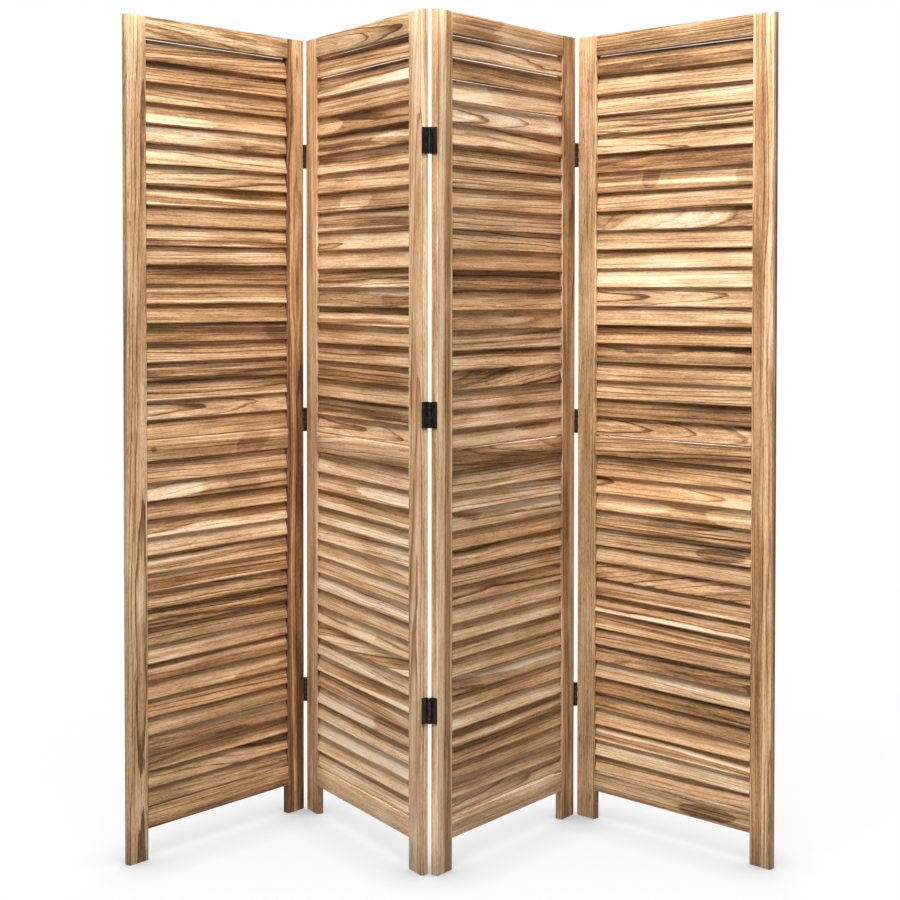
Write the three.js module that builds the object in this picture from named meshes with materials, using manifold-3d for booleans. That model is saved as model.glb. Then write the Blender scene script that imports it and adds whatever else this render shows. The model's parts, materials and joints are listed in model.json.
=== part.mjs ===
// Four-panel folding screen of slatted wood, standing in a zig-zag.
// Millimetres, +Z up. The origin is on the floor, under the middle of the screen's outline.
// Inside a panel's group x runs along its width, y runs back from its front face, z is the height.
import * as THREE from 'three';
import { mergeVertices } from 'three/addons/utils/BufferGeometryUtils.js';
import Module from 'manifold-3d';

const wasm = await Module();
wasm.setup();

// ---------- driving dimensions ----------

// Frame of one panel
const PANEL_HEIGHT = 1700;
const PANEL_WIDTH = 495;
const FRAME_THICKNESS = 16;
const STILE_WIDTH = 49;
const TOP_RAIL_HEIGHT = 43;
const MID_RAIL_HEIGHT = 42;
const BOTTOM_RAIL_HEIGHT = 42;
const LEG_HEIGHT = 63;
const MID_RAIL_TOPS = { panel_1: 849, panel_2: 841, panel_3: 836, panel_4: 837 };
const ARRIS = 1.2;
const TENON_LENGTH = 20;
const TENON_THICKNESS = 6;
const TENON_SHOULDER = 6;

// Slats: a lap is how far a slat reaches over the next one at even spacing, and the lap gap is the play
// between the two slats that stand closest. The gaps above and below a bank are those that are left when
// its slats stand upright.
const SLAT_WIDTH = 45;
const SLAT_THICKNESS = 6;
const UPPER_SLAT_LAP = 5;
const LOWER_SLAT_LAP = 8.5;
const SLAT_LAP_GAP = 1.6;
const UPPER_BANK_TOP_GAP = 1.9;
const LOWER_BANK_TOP_GAP = 0.9;
const BANK_BOTTOM_GAP = 1.4;
const SLAT_PIN_DIAMETER = 5;
const SLAT_PIN_REACH = 8;
const SLAT_EDGE_ANGLES = [-30, 30];

// The slats stand closer together towards the foot of a bank: how far its middle is dropped by that
const UPPER_BANK_DROPS = { panel_1: 8, panel_2: 10, panel_3: 13, panel_4: 7 };
const LOWER_BANK_DROPS = { panel_1: 2, panel_2: 9, panel_3: 11, panel_4: 13 };

// The thin strip at each end of a joined bank, which stands for the pins of its slats
const END_STRIP_THICKNESS = 0.7;
const END_STRIP_MARGIN = 0.3;

// Butt hinges
const HINGE_LENGTH = 52;
const BARREL_DIAMETER = 9;
const HINGE_PIN_DIAMETER = 4.4;
const KNUCKLE_COUNT = 5;
const LEAF_THICKNESS = 1.5;
const LEAF_SETBACK = 0.5;
const PIVOT_STAND_OFF = 0.3;
const SCREW_HOLE_DIAMETER = 4;
const SCREW_END_DISTANCE = 12;

// Heights of the hinges' middles: the top one's is measured down from the panels' top
const OUTER_SEAM_HINGES = { belowTop: 254, middle: 866, bottom: 266 };
const CENTRE_SEAM_HINGES = { belowTop: 256, middle: 908, bottom: 326 };

// Clearances
const JOINT_GAP = 0.3;
const PIN_CLEARANCE = 0.3;

// Sides of the faceted round shapes
const SLAT_PIN_SIDES = 10;
const BARREL_SIDES = 12;
const HINGE_PIN_SIDES = 8;
const SCREW_HOLE_SIDES = 6;

// The panels from left to right: how far each is turned about the vertical, in degrees, and how many of
// its topmost slats turn on their own
const PANELS = [
  { name: 'panel_1', turn: 48.7, turningSlats: 0 },
  { name: 'panel_2', turn: -59.8, turningSlats: 7 },
  { name: 'panel_3', turn: 51.6, turningSlats: 7 },
  { name: 'panel_4', turn: -45.5, turningSlats: 0 },
];

// Seams between neighbours: side 'front' has its barrels before the front faces
const SEAMS = [
  { name: 'hinge_1_2', left: 0, right: 1, side: 'front', hinges: OUTER_SEAM_HINGES },
  { name: 'hinge_2_3', left: 1, right: 2, side: 'back', hinges: CENTRE_SEAM_HINGES },
  { name: 'hinge_3_4', left: 2, right: 3, side: 'front', hinges: OUTER_SEAM_HINGES },
];

// ---------- derived sizes ----------

const OPENING_WIDTH = PANEL_WIDTH - 2 * STILE_WIDTH;
const BANK_WIDTH = OPENING_WIDTH - 2 * JOINT_GAP;
const FIXED_SLAT_LENGTH = BANK_WIDTH - END_STRIP_THICKNESS;
const TURNING_SLAT_LENGTH = BANK_WIDTH - 2 * (END_STRIP_THICKNESS + JOINT_GAP);
const MID_DEPTH = FRAME_THICKNESS / 2;
const TOP_RAIL_UNDERSIDE = PANEL_HEIGHT - TOP_RAIL_HEIGHT;
const BOTTOM_RAIL_TOP = LEG_HEIGHT + BOTTOM_RAIL_HEIGHT;
const BARREL_RADIUS = BARREL_DIAMETER / 2;
const HALF_SEAM = BARREL_RADIUS + JOINT_GAP;

// Pieces share these colours and finishes
const WOOD_TONES = [0xc69a68, 0xb98a58, 0xd2aa78, 0xbe9160];
const SLAT_TONES = [0xcda273, 0xc19463, 0xd8b285, 0xb88955];
const METAL_BLACK = 0x17181a;

function radians(degrees) {
  return THREE.MathUtils.degToRad(degrees);
}

// ---------- solids ----------

function solidOf(geometry) {
  const bare = geometry.clone();
  bare.deleteAttribute('normal');
  bare.deleteAttribute('uv');
  const merged = mergeVertices(bare, 1e-4);
  const mesh = new wasm.Mesh({
    numProp: 3,
    vertProperties: new Float32Array(merged.attributes.position.array),
    triVerts: new Uint32Array(merged.index.array),
  });
  return new wasm.Manifold(mesh);
}

function geometryOf(solid) {
  const mesh = solid.getMesh();
  const geometry = new THREE.BufferGeometry();
  geometry.setAttribute('position', new THREE.BufferAttribute(mesh.vertProperties, 3));
  geometry.setIndex(new THREE.BufferAttribute(mesh.triVerts, 1));
  geometry.computeVertexNormals();
  return geometry;
}

// A box between two corners, given in any order
function block(a, b) {
  const size = b.map((value, axis) => Math.abs(value - a[axis]));
  const centre = b.map((value, axis) => (value + a[axis]) / 2);
  return solidOf(new THREE.BoxGeometry(...size).translate(...centre));
}

// A round bar of one diameter, centred on a point and lying along 'x' or 'z'
function rod(diameter, length, centre, direction, sides) {
  const geometry = new THREE.CylinderGeometry(diameter / 2, diameter / 2, length, sides);
  if (direction === 'x') geometry.rotateZ(Math.PI / 2);
  else geometry.rotateX(Math.PI / 2);
  return solidOf(geometry.translate(...centre));
}

// A rectangle with its four corners cut off, from (0, 0) to (width, height)
function easedRectangle(width, height, cut) {
  return new THREE.Shape([
    new THREE.Vector2(cut, 0),
    new THREE.Vector2(width - cut, 0),
    new THREE.Vector2(width, cut),
    new THREE.Vector2(width, height - cut),
    new THREE.Vector2(width - cut, height),
    new THREE.Vector2(cut, height),
    new THREE.Vector2(0, height - cut),
    new THREE.Vector2(0, cut),
  ]);
}

function extruded(shape, length) {
  return new THREE.ExtrudeGeometry(shape, { depth: length, bevelEnabled: false });
}

function meshOf(name, solid, color, metal = false) {
  const finish = metal ? { roughness: 0.45, metalness: 0.7 } : { roughness: 0.62, metalness: 0 };
  const mesh = new THREE.Mesh(geometryOf(solid), new THREE.MeshStandardMaterial({ color, ...finish }));
  mesh.name = name;
  return mesh;
}

// ---------- layout of one panel ----------

// One bank between two heights: the heights of its slats' pins, from the top one down, and the tilt in
// degrees that leaves the lap gap between the two slats that stand closest
function bankOf(top, bottom, lap, drop) {
  const first = top - SLAT_WIDTH / 2;
  const last = bottom + SLAT_WIDTH / 2;
  const steps = Math.round((first - last) / (SLAT_WIDTH - lap));
  const pins = Array.from({ length: steps + 1 }, (_, index) => {
    const share = index / steps;
    return first - share * (first - last) - 4 * drop * share * (1 - share);
  });
  const closest = Math.min(...pins.slice(1).map((height, index) => pins[index] - height));
  const tilt = THREE.MathUtils.radToDeg(Math.asin((SLAT_THICKNESS + SLAT_LAP_GAP) / closest));
  return { pins, tilt };
}

function layoutOf(panel) {
  const midRailTop = MID_RAIL_TOPS[panel.name];
  const midRailUnderside = midRailTop - MID_RAIL_HEIGHT;
  const upperTop = TOP_RAIL_UNDERSIDE - UPPER_BANK_TOP_GAP;
  const upperBottom = midRailTop + BANK_BOTTOM_GAP;
  const upper = bankOf(upperTop, upperBottom, UPPER_SLAT_LAP, UPPER_BANK_DROPS[panel.name]);
  const lowerTop = midRailUnderside - LOWER_BANK_TOP_GAP;
  const lowerBottom = BOTTOM_RAIL_TOP + BANK_BOTTOM_GAP;
  const lower = bankOf(lowerTop, lowerBottom, LOWER_SLAT_LAP, LOWER_BANK_DROPS[panel.name]);
  return {
    rails: [
      { part: 'top_rail', low: TOP_RAIL_UNDERSIDE, high: PANEL_HEIGHT },
      { part: 'mid_rail', low: midRailUnderside, high: midRailTop },
      { part: 'bottom_rail', low: LEG_HEIGHT, high: BOTTOM_RAIL_TOP },
    ],
    turning: { pins: upper.pins.slice(0, panel.turningSlats), tilt: upper.tilt },
    banks: [
      { part: 'upper_slats', pins: upper.pins.slice(panel.turningSlats), tilt: upper.tilt },
      { part: 'lower_slats', pins: lower.pins, tilt: lower.tilt },
    ],
  };
}

// ---------- frame pieces ----------

// The tenon on a rail's end, or the mortise for it: inner and outer x, and how much room is added
function tenon(rail, innerX, outerX, room) {
  return block(
    [innerX, MID_DEPTH - TENON_THICKNESS / 2 - room, rail.low + TENON_SHOULDER - room],
    [outerX, MID_DEPTH + TENON_THICKNESS / 2 + room, rail.high - TENON_SHOULDER + room]);
}

function railSolid(rail) {
  const length = OPENING_WIDTH - 2 * JOINT_GAP;
  const bar = extruded(easedRectangle(FRAME_THICKNESS, rail.high - rail.low, ARRIS), length);
  // The section's first side becomes the depth, its second the height, and its length runs along x
  bar.rotateX(Math.PI / 2);
  bar.rotateZ(Math.PI / 2);
  bar.translate(STILE_WIDTH + JOINT_GAP, 0, rail.low);
  const leftEnd = STILE_WIDTH - TENON_LENGTH;
  const rightEnd = PANEL_WIDTH - STILE_WIDTH + TENON_LENGTH;
  const overlap = TENON_LENGTH / 2;
  return solidOf(bar)
    .add(tenon(rail, leftEnd, STILE_WIDTH + overlap, 0))
    .add(tenon(rail, PANEL_WIDTH - STILE_WIDTH - overlap, rightEnd, 0));
}

// side is -1 for the left stile and 1 for the right one
function stileSolid(layout, side) {
  const outerX = side < 0 ? 0 : PANEL_WIDTH - STILE_WIDTH;
  const innerFace = side < 0 ? STILE_WIDTH : PANEL_WIDTH - STILE_WIDTH;
  const bar = extruded(easedRectangle(STILE_WIDTH, FRAME_THICKNESS, ARRIS), PANEL_HEIGHT);
  bar.translate(outerX, 0, 0);
  let solid = solidOf(bar);
  for (const rail of layout.rails) {
    const bottomOfMortise = innerFace + side * (TENON_LENGTH + JOINT_GAP);
    solid = solid.subtract(tenon(rail, innerFace - side, bottomOfMortise, JOINT_GAP));
  }
  for (const height of layout.turning.pins) {
    const depth = 2 * (SLAT_PIN_REACH + JOINT_GAP);
    const diameter = SLAT_PIN_DIAMETER + 2 * PIN_CLEARANCE;
    solid = solid.subtract(rod(diameter, depth, [innerFace, MID_DEPTH, height], 'x', SLAT_PIN_SIDES));
  }
  return solid;
}

// ---------- slats ----------

// A slat's section: two flat faces and rounded edges, centred on its pin
function slatSection() {
  const flat = (SLAT_WIDTH - SLAT_THICKNESS) / 2;
  const radius = SLAT_THICKNESS / 2;
  const points = [];
  for (const side of [1, -1]) {
    for (const angle of [-90, ...SLAT_EDGE_ANGLES, 90]) {
      const x = side * (flat + radius * Math.cos(radians(angle)));
      points.push(new THREE.Vector2(x, side * radius * Math.sin(radians(angle))));
    }
  }
  return new THREE.Shape(points);
}

// One slat lying upright, its middle at the origin and its pins' axis along x
function slatGeometry(length) {
  const geometry = extruded(slatSection(), length);
  geometry.translate(0, 0, -length / 2);
  geometry.rotateY(Math.PI / 2);
  return geometry;
}

function turningSlatSolid() {
  const pinEnd = OPENING_WIDTH / 2 + SLAT_PIN_REACH;
  const pinStart = TURNING_SLAT_LENGTH / 2 - SLAT_PIN_REACH;
  let solid = solidOf(slatGeometry(TURNING_SLAT_LENGTH));
  for (const side of [-1, 1]) {
    const centre = [side * (pinStart + pinEnd) / 2, 0, 0];
    solid = solid.add(rod(SLAT_PIN_DIAMETER, pinEnd - pinStart, centre, 'x', SLAT_PIN_SIDES));
  }
  return solid;
}

// A bank of slats whose ends stand in a thin strip on both sides
function bankSolid({ pins, tilt }) {
  const middle = PANEL_WIDTH / 2;
  const flat = SLAT_WIDTH - SLAT_THICKNESS;
  const halfDepth = (flat * Math.sin(radians(tilt)) + SLAT_THICKNESS) / 2 + END_STRIP_MARGIN;
  const halfRise = (flat * Math.cos(radians(tilt)) + SLAT_THICKNESS) / 2 + END_STRIP_MARGIN;
  const low = Math.min(...pins) - halfRise;
  const high = Math.max(...pins) + halfRise;
  const strips = [-1, 1].map((side) => block(
    [middle + side * (BANK_WIDTH / 2 - END_STRIP_THICKNESS), MID_DEPTH - halfDepth, low],
    [middle + side * BANK_WIDTH / 2, MID_DEPTH + halfDepth, high]));
  let solid = strips[0].add(strips[1]);
  for (const height of pins) {
    const slat = slatGeometry(FIXED_SLAT_LENGTH);
    slat.rotateX(-radians(tilt));
    slat.translate(middle, MID_DEPTH, height);
    solid = solid.add(solidOf(slat));
  }
  return solid;
}

function makePanel(panel) {
  const layout = layoutOf(panel);
  const group = new THREE.Group();
  const tone = WOOD_TONES[PANELS.indexOf(panel)];
  group.add(meshOf(`${panel.name}_left_stile`, stileSolid(layout, -1), tone));
  group.add(meshOf(`${panel.name}_right_stile`, stileSolid(layout, 1), tone));
  for (const rail of layout.rails) {
    group.add(meshOf(`${panel.name}_${rail.part}`, railSolid(rail), tone));
  }
  layout.turning.pins.forEach((height, index) => {
    const color = SLAT_TONES[index % SLAT_TONES.length];
    const slat = meshOf(`${panel.name}_turning_slat_${index + 1}`, turningSlatSolid(), color);
    slat.position.set(PANEL_WIDTH / 2, MID_DEPTH, height);
    slat.rotation.x = -radians(layout.turning.tilt);
    group.add(slat);
  });
  layout.banks.forEach((bank, index) => {
    group.add(meshOf(`${panel.name}_${bank.part}`, bankSolid(bank), SLAT_TONES[index]));
  });
  return group;
}

// ---------- hinges ----------

// Heights of the knuckles of one leaf, measured from the hinge's middle: the leaf with the pin has the
// first, third and fifth, the plain leaf the ones between
function knuckleSpans(withPin) {
  const length = (HINGE_LENGTH - (KNUCKLE_COUNT - 1) * JOINT_GAP) / KNUCKLE_COUNT;
  const spans = [];
  for (let index = withPin ? 0 : 1; index < KNUCKLE_COUNT; index += 2) {
    const low = -HINGE_LENGTH / 2 + index * (length + JOINT_GAP);
    spans.push([low, low + length]);
  }
  return spans;
}

// wood is -1 where the stile lies towards -x of the pin and 1 where it lies towards +x;
// reach is 1 where the leaf runs back from its barrel and -1 where it runs forward
function leafSolid(withPin, wood, reach) {
  const farEdge = PIVOT_STAND_OFF + FRAME_THICKNESS - LEAF_SETBACK;
  const inner = wood * (BARREL_RADIUS - LEAF_THICKNESS);
  const outer = wood * BARREL_RADIUS;
  const half = HINGE_LENGTH / 2;
  let solid = block([inner, 0, -half], [outer, reach * farEdge, half]);
  const room = BARREL_RADIUS + JOINT_GAP;
  for (const [low, high] of knuckleSpans(!withPin)) {
    solid = solid.subtract(block([-room, -room, low - JOINT_GAP], [room, room, high + JOINT_GAP]));
  }
  for (const [low, high] of knuckleSpans(withPin)) {
    solid = solid.add(rod(BARREL_DIAMETER, high - low, [0, 0, (low + high) / 2], 'z', BARREL_SIDES));
  }
  const plateMiddle = reach * (room + farEdge) / 2;
  for (const end of [-1, 1]) {
    const centre = [(inner + outer) / 2, plateMiddle, end * (half - SCREW_END_DISTANCE)];
    solid = solid.subtract(rod(SCREW_HOLE_DIAMETER, 2 * LEAF_THICKNESS, centre, 'x', SCREW_HOLE_SIDES));
  }
  if (withPin) return solid.add(rod(HINGE_PIN_DIAMETER, HINGE_LENGTH, [0, 0, 0], 'z', HINGE_PIN_SIDES));
  const bore = HINGE_PIN_DIAMETER + 2 * PIN_CLEARANCE;
  return solid.subtract(rod(bore, 2 * HINGE_LENGTH, [0, 0, 0], 'z', HINGE_PIN_SIDES));
}

// Where a seam's pin line stands in the plan of the panel on its left or on its right
function seamPoint(seam, onLeftPanel) {
  const x = onLeftPanel ? PANEL_WIDTH + HALF_SEAM : -HALF_SEAM;
  const y = seam.side === 'front' ? -PIVOT_STAND_OFF : FRAME_THICKNESS + PIVOT_STAND_OFF;
  return new THREE.Vector3(x, y, 0);
}

function addHinges(seam, leftGroup, rightGroup) {
  const reach = seam.side === 'front' ? 1 : -1;
  const { belowTop, middle, bottom } = seam.hinges;
  const heights = { top: PANEL_HEIGHT - belowTop, middle, bottom };
  for (const [place, height] of Object.entries(heights)) {
    const name = `${seam.name}_${place}`;
    const pinLeaf = meshOf(`${name}_pin_leaf`, leafSolid(true, -1, reach), METAL_BLACK, true);
    pinLeaf.position.copy(seamPoint(seam, true)).setZ(height);
    leftGroup.add(pinLeaf);
    const plainLeaf = meshOf(`${name}_plain_leaf`, leafSolid(false, 1, reach), METAL_BLACK, true);
    plainLeaf.position.copy(seamPoint(seam, false)).setZ(height);
    rightGroup.add(plainLeaf);
  }
}

// ---------- the screen ----------

// Each panel is turned, then moved until its seam's pin line meets that of the panel before it
function makeScreen() {
  const screen = new THREE.Group();
  const groups = PANELS.map(makePanel);
  const vertical = new THREE.Vector3(0, 0, 1);
  PANELS.forEach((panel, index) => {
    groups[index].rotation.z = radians(panel.turn);
    screen.add(groups[index]);
  });
  for (const seam of SEAMS) {
    const left = groups[seam.left];
    const right = groups[seam.right];
    const pinLine = seamPoint(seam, true).applyAxisAngle(vertical, left.rotation.z).add(left.position);
    const ownPoint = seamPoint(seam, false).applyAxisAngle(vertical, right.rotation.z);
    right.position.copy(pinLine.sub(ownPoint));
    addHinges(seam, left, right);
  }
  screen.updateMatrixWorld(true);
  const centre = new THREE.Box3().setFromObject(screen).getCenter(new THREE.Vector3());
  screen.position.set(-centre.x, -centre.y, 0);
  screen.updateMatrixWorld(true);
  return screen;
}

export default makeScreen();
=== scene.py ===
"""The looks of a four-panel folding screen of slatted wood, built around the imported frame.

Metres, +Z up. In a panel's own axes x runs along its width from its left end, y runs back from its front
face, and z is the height. A board's own axes are x along the grain, y through its thickness and z across.
"""

import json
import math
import random

import bmesh
import bpy
from mathutils import Matrix, Vector


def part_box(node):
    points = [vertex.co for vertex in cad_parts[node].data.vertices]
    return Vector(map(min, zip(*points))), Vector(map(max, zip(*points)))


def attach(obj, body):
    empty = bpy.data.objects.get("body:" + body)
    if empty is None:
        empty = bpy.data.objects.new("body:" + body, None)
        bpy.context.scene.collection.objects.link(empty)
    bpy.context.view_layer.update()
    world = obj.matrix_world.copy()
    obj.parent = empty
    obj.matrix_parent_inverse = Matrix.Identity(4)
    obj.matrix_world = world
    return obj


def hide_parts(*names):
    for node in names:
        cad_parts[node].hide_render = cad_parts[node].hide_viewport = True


MM = 0.001

# ---------- sizes ----------

SLAT_WIDTH = 45 * MM
SLAT_THICKNESS = 6 * MM
SLAT_EDGE_RADIUS = 2.8 * MM
SLAT_END_ARRIS = 0.5 * MM
SLAT_LAP_GAP = 1.6 * MM
SLAT_PIN_RADIUS = 2.5 * MM
FIXED_SLAT_GAP = 0.9 * MM
TURNING_SLAT_GAP = 1.3 * MM
PIN_TIP_GAP = 0.05 * MM

# Of each bank: how far a slat laps the next one at even spacing, the room above and below the upright
# slats, and by how many millimetres the closer spacing towards its foot drops its middle, panel by panel
BANKS = {
    "upper": {"lap": 5.0 * MM, "above": 1.9 * MM, "below": 1.4 * MM, "drops": (8, 10, 13, 7)},
    "lower": {"lap": 8.5 * MM, "above": 0.9 * MM, "below": 1.4 * MM, "drops": (2, 9, 11, 13)},
}
TURNING_SLATS = {"panel_2": 7, "panel_3": 7}

# By how many degrees the right ends of a bank's middle slats hang, panel by panel
HANGS = {"upper": (0, 0, 0, 0), "lower": (0, 1.3, 0, 1.1)}

# How many millimetres above the middle of its pins a slat beside a rail sits, panel by panel
LIFTS = {
    ("upper", "first"): (0.4, 1.0, 0.3, 0.4),
    ("upper", "last"): (-0.8, -0.8, -0.8, -0.8),
    ("lower", "first"): (0.4, 0.4, 0.4, 0.4),
}

# How unevenly the slats are made and hung: lean and level in degrees
SLAT_BOW = 0.5 * MM
SLAT_SWAY = 0.35 * MM
SLAT_LEAN = 0.8
SLAT_LEVEL = 0.10

STILE_ARRIS = 1.9 * MM
STILE_END_ARRIS = 1.0 * MM
RAIL_ARRIS = 1.2 * MM
RAIL_END_ARRIS = 0.5 * MM
RAIL_END_GAP = 0.1 * MM

KNUCKLE_COUNT = 5
KNUCKLE_GAP = 0.3 * MM
KNUCKLE_ARRIS = 0.35 * MM
BARREL_RADIUS = 4.5 * MM
HINGE_BORE_RADIUS = 2.5 * MM
HINGE_PIN_RADIUS = 2.2 * MM
HINGE_PIN_ARRIS = 0.3 * MM
PIVOT_STAND_OFF = 0.3 * MM
LEAF_THICKNESS = 1.5 * MM
LEAF_SETBACK = 0.5 * MM
LEAF_CORNER = 1.5 * MM
LEAF_ARRIS = 0.2 * MM
LEAF_INNER = BARREL_RADIUS - LEAF_THICKNESS

# The strap that joins a knuckle to its plate: where it starts on the knuckle, how far it laps the plate,
# and how far its ends stay inside the knuckle's
STRAP_START = 0.6 * MM
STRAP_LAP = 0.4 * MM
STRAP_END_GAP = 0.1 * MM

SCREW_END_DISTANCE = 12 * MM
SCREW_HEAD_RADIUS = 3.2 * MM
SCREW_SHANK_SHARE = 0.53
SCREW_HEAD_PROUD = 0.05 * MM
SCREW_RIM_HEIGHT = 0.15 * MM
SCREW_HEAD_HEIGHT = 1.5 * MM
SCREW_SHANK_HEIGHT = 10 * MM
SCREW_LENGTH = 12 * MM
CROSS_ARM = 1.7 * MM
CROSS_HALF_WIDTH = 0.42 * MM
CROSS_DEPTH = 0.7 * MM

# Steps of the round shapes and of the boards' lengths
ARRIS_STEPS = 3
SLAT_EDGE_STEPS = 5
SLAT_PIN_SIDES = 14
BARREL_SIDES = 32
HINGE_PIN_SIDES = 24
LEAF_CORNER_STEPS = 4
STILE_STEPS = 24
RAIL_STEPS = 8
SLAT_STEPS = 14

# Edges that meet at more than this many degrees stay sharp
SHARP_ANGLE = 40

# The camera that fits the photograph: its principal point and focal length are in the photo's pixels
PHOTO_SIZE = 900
PRINCIPAL_X = 403.5
PRINCIPAL_Y = 329.3
FOCAL_PIXELS = 1667.2
SENSOR_WIDTH = 36.0
CAMERA_PLACE = Vector((-0.0900, -3.4712, 1.1529))
CAMERA_PITCH = math.radians(1.36)

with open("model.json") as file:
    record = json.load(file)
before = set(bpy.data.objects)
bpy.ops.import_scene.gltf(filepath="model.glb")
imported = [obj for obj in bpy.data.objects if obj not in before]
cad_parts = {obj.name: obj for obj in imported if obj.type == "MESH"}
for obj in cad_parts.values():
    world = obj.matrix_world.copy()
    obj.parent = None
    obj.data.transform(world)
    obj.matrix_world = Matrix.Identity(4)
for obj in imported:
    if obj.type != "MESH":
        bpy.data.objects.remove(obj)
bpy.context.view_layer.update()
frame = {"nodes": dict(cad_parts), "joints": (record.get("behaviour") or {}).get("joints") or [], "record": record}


# ---------- places, read from the frame ----------


class Panel:
    """One panel's own axes and the places of its pieces in them."""

    def __init__(self, number):
        self.number = number
        self.name = f"panel_{number}"
        feet = {m["name"]: Vector(m["pos_m"]) for m in frame["record"]["mounts"]}
        left = feet[f"foot_{self.name}_left"]
        right = feet[f"foot_{self.name}_right"]
        self.along = (right - left).normalized()
        self.back = Vector((-self.along.y, self.along.x, 0))
        stile = [v.co - left for v in frame["nodes"][f"{self.name}_left_stile"].data.vertices]
        self.stile_width = 2 * max(p.dot(self.along) for p in stile)
        self.depth = 2 * max(p.dot(self.back) for p in stile)
        self.height = max(p.z for p in stile)
        self.width = (right - left).length + self.stile_width
        self.opening = self.width - 2 * self.stile_width
        self.origin = left - self.along * self.stile_width / 2 - self.back * self.depth / 2
        self.rails = {}
        for part in ("top", "mid", "bottom"):
            low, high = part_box(f"{self.name}_{part}_rail")
            self.rails[part] = (low.z, high.z)

    def matrix(self, x, y, z):
        """The panel's axes, with their origin at a point of the panel."""
        place = self.origin + self.along * x + self.back * y + Vector((0, 0, z))
        columns = (self.along, self.back, Vector((0, 0, 1)))
        rotation = Matrix([[column[row] for column in columns] for row in range(3)])
        return Matrix.Translation(place) @ rotation.to_4x4()

    def pins(self, bank):
        """Heights of a bank's slat pins from the top down, and the tilt that the lap gives its slats."""
        sizes = BANKS[bank]
        high = self.rails["top"][0] if bank == "upper" else self.rails["mid"][0]
        low = self.rails["mid"][1] if bank == "upper" else self.rails["bottom"][1]
        first = high - sizes["above"] - SLAT_WIDTH / 2
        last = low + sizes["below"] + SLAT_WIDTH / 2
        steps = round((first - last) / (SLAT_WIDTH - sizes["lap"]))
        drop = sizes["drops"][self.number - 1] * MM
        shares = [index / steps for index in range(steps + 1)]
        heights = [first - s * (first - last) - 4 * drop * s * (1 - s) for s in shares]
        closest = min(a - b for a, b in zip(heights, heights[1:]))
        return heights, math.asin((SLAT_THICKNESS + SLAT_LAP_GAP) / closest)


# ---------- materials ----------


def linear(text):
    """A colour written as six hex digits of sRGB, as linear RGBA."""
    parts = [int(text[i : i + 2], 16) / 255 for i in (0, 2, 4)]
    return [c / 12.92 if c <= 0.04045 else ((c + 0.055) / 1.055) ** 2.4 for c in parts] + [1.0]


class Tree:
    """The nodes of a material or a world, written as expressions."""

    def __init__(self, owner):
        self.owner = owner
        owner.use_nodes = True
        self.nodes = owner.node_tree.nodes
        self.links = owner.node_tree.links
        self.nodes.clear()

    def plug(self, socket, value):
        if isinstance(value, bpy.types.NodeSocket):
            self.links.new(value, socket)
        else:
            socket.default_value = value

    def node(self, kind, inputs=None, **settings):
        made = self.nodes.new("ShaderNode" + kind)
        for key, value in settings.items():
            setattr(made, key, value)
        for key, value in (inputs or {}).items():
            self.plug(made.inputs[key], value)
        return made

    def math(self, operation, *values):
        return self.node("Math", dict(enumerate(values)), operation=operation).outputs[0]

    def vector(self, operation, *values):
        made = self.node("VectorMath", dict(enumerate(values)), operation=operation)
        return made.outputs["Value" if operation == "LENGTH" else "Vector"]

    def attribute(self, name):
        return self.node("Attribute", attribute_name=name).outputs["Vector"]

    def split(self, vector):
        return self.node("SeparateXYZ", {0: vector}).outputs[:]

    def noise(self, place, stretch, detail=2.0, rough=0.5, colour=False):
        """Noise of so many waves a metre along each axis; as a colour it is three noises at once."""
        scaled = self.vector("MULTIPLY", place, stretch)
        inputs = {"Vector": scaled, "Scale": 1.0, "Detail": detail, "Roughness": rough}
        return self.node("TexNoise", inputs).outputs["Color" if colour else "Fac"]

    def noise_line(self, value, scale, detail=2.0):
        inputs = {"W": self.math("MULTIPLY", value, scale), "Scale": 1.0, "Detail": detail}
        return self.node("TexNoise", inputs, noise_dimensions="1D").outputs["Fac"]

    def span(self, value, low, high, to_low=0.0, to_high=1.0):
        """A smooth step from to_low, where value is low, to to_high, where it is high."""
        inputs = {"Value": value, "From Min": low, "From Max": high, "To Min": to_low, "To Max": to_high}
        return self.node("MapRange", inputs, interpolation_type="SMOOTHSTEP").outputs["Result"]

    def weigh(self, base, *terms):
        """base plus, for each (value, weight, middle), weight times how far value is above middle."""
        total = base
        for value, weight, middle in terms:
            if isinstance(weight, bpy.types.NodeSocket):
                part = self.math("MULTIPLY", self.math("SUBTRACT", value, middle), weight)
                total = self.math("ADD", part, total)
            else:
                total = self.math("ADD", self.math("MULTIPLY_ADD", value, weight, -weight * middle), total)
        return total

    def ramp(self, value, stops):
        made = self.node("ValToRGB", {0: value})
        elements = made.color_ramp.elements
        while len(elements) < len(stops):
            elements.new(0.5)
        for element, (place, text) in zip(elements, stops):
            element.position = place
            element.color = linear(text)
        return made.outputs["Color"]

    def blend(self, share, a, b, mode="MIX"):
        made = self.node("Mix", {0: share, 6: a, 7: b}, data_type="RGBA", blend_type=mode)
        return made.outputs[2]

    def jitter(self, place, noise, reach):
        """place, moved by a colour noise by up to half of reach either way along each axis."""
        back = tuple(-amount / 2 for amount in reach)
        return self.vector("ADD", place, self.vector("MULTIPLY_ADD", noise, reach, back))

    def finish(self, **inputs):
        shader = self.node("BsdfPrincipled", {key.replace("_", " "): v for key, v in inputs.items()})
        self.node("OutputMaterial", {"Surface": shader.outputs[0]})
        return self.owner


# Scorched and brushed paulownia, from the darkest latewood to the palest sapwood
WOOD_TONES = [
    (0.00, "4e301a"),
    (0.18, "6f4e30"),
    (0.36, "94704c"),
    (0.55, "b9946d"),
    (0.75, "d8b792"),
    (1.00, "f3e0c6"),
]


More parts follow.
